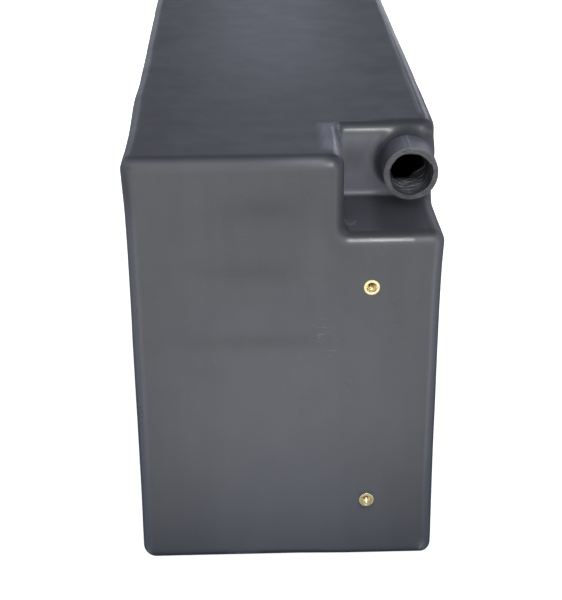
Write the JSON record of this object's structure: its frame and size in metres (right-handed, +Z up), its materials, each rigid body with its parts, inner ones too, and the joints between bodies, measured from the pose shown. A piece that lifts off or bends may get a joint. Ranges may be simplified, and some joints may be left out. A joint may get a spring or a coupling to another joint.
{
  "type": "fresh water tank",
  "caption": "Rotomoulded fresh water tank with a recessed corner fill spout, threaded inserts, outlet, vent and lever drain valve.",
  "frame": {"origin": "centre of the tank's underside, under the middle of the moulded shell", "axes": "+Z up; the end with the fill recess and the two inserts faces -Y; the outlet, vent and drain are on the +Y end; +X is the side with the recess"},
  "size_m": [0.216, 0.848, 0.32],
  "materials": {
    "tank_plastic": "satin moulded dark grey polyethylene",
    "insert_brass": "machined",
    "fitting_plastic": "satin moulded black polyethylene",
    "nylon": "natural nylon, satin",
    "screen_steel": "woven stainless",
    "valve_brass": "forged and machined",
    "ptfe": "smooth white",
    "ball_chrome": "polished",
    "lever_steel": "zinc plated",
    "grip_vinyl": "dipped red vinyl"
  },
  "bodies": {
    "tank": {"tank_shell": "tank_plastic", "front_insert_upper": "insert_brass", "front_insert_lower": "insert_brass", "outlet_fitting": "fitting_plastic", "drain_fitting": "fitting_plastic", "vent_fitting": "fitting_plastic", "outlet_barb": "nylon", "vent_elbow": "nylon", "vent_screen": "screen_steel", "valve_body": "valve_brass", "valve_end_piece": "valve_brass", "seat_inner": "ptfe", "seat_outer": "ptfe", "stem_packing": "ptfe", "gland_nut": "valve_brass"},
    "valve_handle": {"valve_ball": "ball_chrome", "valve_stem": "valve_brass", "valve_lever": "lever_steel", "lever_grip": "grip_vinyl", "lever_nut": "lever_steel"}
  },
  "joints": [
    {"name": "drain_valve_turn", "type": "hinge", "parent": "tank", "child": "valve_handle", "pos_m": [-0.05, 0.42, 0.036], "axis": [0, 0, 1], "range_deg": [0, 90]}
  ]
}
